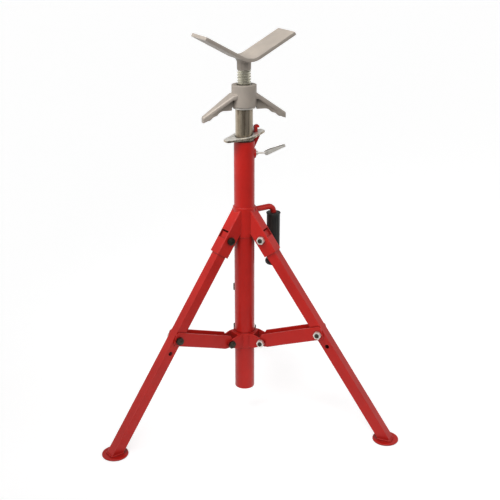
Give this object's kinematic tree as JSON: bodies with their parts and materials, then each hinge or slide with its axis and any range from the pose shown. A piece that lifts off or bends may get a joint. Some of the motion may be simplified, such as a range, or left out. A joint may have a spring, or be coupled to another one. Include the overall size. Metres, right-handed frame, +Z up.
{
  "type": "pipe stand",
  "caption": "Folding tripod stand with a V head for pipe: square legs braced to a sliding collar, a telescoping tube held by a tilting plate, and a wing nut on a screw for fine height.",
  "frame": {"origin": "on the floor, under the middle of the stand's bounding box", "axes": "+Z up the column, +Y towards the leg that points back, +X to the right seen from the front"},
  "size_m": [0.706, 0.6191, 0.9411],
  "materials": {
    "red_paint": "gloss red paint, lightly worn",
    "cast_grey": "satin grey casting and plate",
    "zinc_steel": "dull drawn steel tube and sheet",
    "yellow_zinc": "yellow zinc plate",
    "bright_zinc": "bright zinc plate",
    "bolt_steel": "black oxide",
    "black_rubber": "moulded black grip"
  },
  "bodies": {
    "column": {"main_column": "red_paint", "hub_sleeve": "red_paint", "plate_hook": "red_paint", "lock_boss": "red_paint", "handle_rod": "red_paint", "handle_grip": "black_rubber", "leg_bracket_1": "red_paint", "leg_bracket_2": "red_paint", "leg_bracket_3": "red_paint", "pivot_bolt_1": "bolt_steel", "pivot_bolt_2": "bolt_steel", "pivot_bolt_3": "bolt_steel", "pivot_nut_1": "bright_zinc", "pivot_nut_2": "bright_zinc", "pivot_nut_3": "bright_zinc"},
    "mast": {"inner_tube": "zinc_steel", "thrust_washer": "bright_zinc"},
    "wing_nut": {"wing_nut": "cast_grey"},
    "lift_screw": {"lift_screw": "yellow_zinc"},
    "v_head": {"v_head": "cast_grey", "head_neck": "cast_grey"},
    "jam_plate": {"jam_plate": "bright_zinc"},
    "lock_screw": {"lock_screw": "bright_zinc"},
    "lock_lever": {"lock_lever": "bright_zinc", "lever_pin": "bright_zinc"},
    "collar": {"collar_sleeve": "red_paint", "collar_ears_1": "red_paint", "collar_ears_2": "red_paint", "collar_ears_3": "red_paint", "collar_bolt_1": "bolt_steel", "collar_bolt_2": "bolt_steel", "collar_bolt_3": "bolt_steel", "collar_nut_1": "bright_zinc", "collar_nut_2": "bright_zinc", "collar_nut_3": "bright_zinc"},
    "leg_1": {"leg_tube_1": "red_paint", "foot_pad_1": "red_paint"},
    "brace_1": {"brace_1": "red_paint", "brace_bolt_1": "bolt_steel", "brace_nut_1": "bright_zinc"},
    "leg_2": {"leg_tube_2": "red_paint", "foot_pad_2": "red_paint"},
    "brace_2": {"brace_2": "red_paint", "brace_bolt_2": "bolt_steel", "brace_nut_2": "bright_zinc"},
    "leg_3": {"leg_tube_3": "red_paint", "foot_pad_3": "red_paint"},
    "brace_3": {"brace_3": "red_paint", "brace_bolt_3": "bolt_steel", "brace_nut_3": "bright_zinc"}
  },
  "joints": [
    {"name": "mast_slide", "type": "slide", "parent": "column", "child": "mast", "axis": [0, 0, 1], "range_m": [-0.03, 0.24]},
    {"name": "wing_nut_turn", "type": "hinge", "parent": "mast", "child": "wing_nut", "pos_m": [0, -0.09267, 0.777], "axis": [0, 0, 1], "range_deg": [-7200, 1800]},
    {"name": "screw_lift", "type": "slide", "parent": "mast", "child": "lift_screw", "axis": [0, 0, 1], "range_m": [-0.03, 0.12]},
    {"name": "head_swivel", "type": "hinge", "parent": "lift_screw", "child": "v_head", "pos_m": [0, -0.09267, 0.859], "axis": [0, 0, 1], "continuous": true},
    {"name": "jam_plate_tilt", "type": "hinge", "parent": "column", "child": "jam_plate", "pos_m": [0.03716, -0.07534, 0.71174], "axis": [-0.4226, 0.9063, 0], "range_deg": [0, 8]},
    {"name": "lock_screw_turn", "type": "hinge", "parent": "column", "child": "lock_screw", "pos_m": [0.02045, -0.09231, 0.6675], "axis": [0.9998, 0.0175, 0], "range_deg": [0, 360]},
    {"name": "lock_lever_swing", "type": "hinge", "parent": "lock_screw", "child": "lock_lever", "pos_m": [0.05164, -0.09177, 0.6675], "axis": [-0.0175, 0.9998, 0], "range_deg": [-35, 84]},
    {"name": "collar_slide", "type": "slide", "parent": "column", "child": "collar", "axis": [0, 0, 1], "range_m": [-0.001, 0.1563]},
    {"name": "leg_1_fold", "type": "hinge", "parent": "column", "child": "leg_1", "pos_m": [-0.04404, -0.1181, 0.46753], "axis": [0.5, -0.866, 0], "range_deg": [0, 24]},
    {"name": "brace_1_swing", "type": "hinge", "parent": "collar", "child": "brace_1", "pos_m": [-0.04594, -0.11919, 0.20114], "axis": [0.5, -0.866, 0], "range_deg": [-0.5, 92.66]},
    {"name": "leg_2_fold", "type": "hinge", "parent": "column", "child": "leg_2", "pos_m": [0.04404, -0.1181, 0.46753], "axis": [0.5, 0.866, 0], "range_deg": [0, 24]},
    {"name": "brace_2_swing", "type": "hinge", "parent": "collar", "child": "brace_2", "pos_m": [0.04594, -0.11919, 0.20114], "axis": [0.5, 0.866, 0], "range_deg": [-0.5, 92.66]},
    {"name": "leg_3_fold", "type": "hinge", "parent": "column", "child": "leg_3", "pos_m": [0.00284, -0.0419, 0.46753], "axis": [-0.9984, 0.0558, 0], "range_deg": [0, 24]},
    {"name": "brace_3_swing", "type": "hinge", "parent": "collar", "child": "brace_3", "pos_m": [0.00296, -0.0397, 0.20114], "axis": [-0.9984, 0.0558, 0], "range_deg": [-0.5, 92.66]}
  ],
  "couplings": [
    {"joint": "screw_lift", "follows": "wing_nut_turn", "m_per_rad": -0.00095493},
    {"joint": "collar_slide", "follows": "leg_1_fold", "m_per_rad": 0.37079},
    {"joint": "brace_1_swing", "follows": "leg_1_fold", "ratio": 3.8399},
    {"joint": "leg_2_fold", "follows": "leg_1_fold", "ratio": 1},
    {"joint": "brace_2_swing", "follows": "leg_1_fold", "ratio": 3.8399},
    {"joint": "leg_3_fold", "follows": "leg_1_fold", "ratio": 1},
    {"joint": "brace_3_swing", "follows": "leg_1_fold", "ratio": 3.8399}
  ]
}
